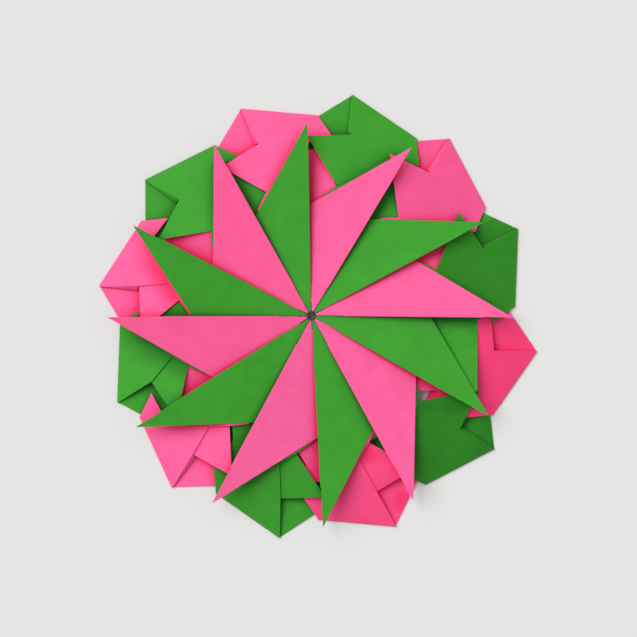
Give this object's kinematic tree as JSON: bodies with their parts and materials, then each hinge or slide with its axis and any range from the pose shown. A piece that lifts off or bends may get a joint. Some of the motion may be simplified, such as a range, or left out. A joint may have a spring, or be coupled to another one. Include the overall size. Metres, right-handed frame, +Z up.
{
  "type": "folded paper rosette",
  "caption": "Flat folded paper rosette of interlocking green and pink sheets, with long pointed petals turning pinwheel-like round a small hub hole.",
  "frame": {"origin": "centre of the rim on the face that it rests on", "axes": "+Z up out of the petals, +Y along the straight edge of the first green petal, which is the top of the picture"},
  "size_m": [0.1489, 0.1508, 0.0071],
  "materials": {
    "green_paper": "matte",
    "pink_paper": "matte"
  },
  "bodies": {
    "root": {"unit_01_green": "green_paper", "unit_02_pink": "pink_paper", "unit_03_green": "green_paper", "unit_04_pink": "pink_paper", "unit_05_green": "green_paper", "unit_06_pink": "pink_paper", "unit_07_green": "green_paper", "unit_08_pink": "pink_paper", "unit_09_green": "green_paper", "unit_10_pink": "pink_paper", "unit_11_green": "green_paper", "unit_12_pink": "pink_paper"}
  },
  "joints": []
}
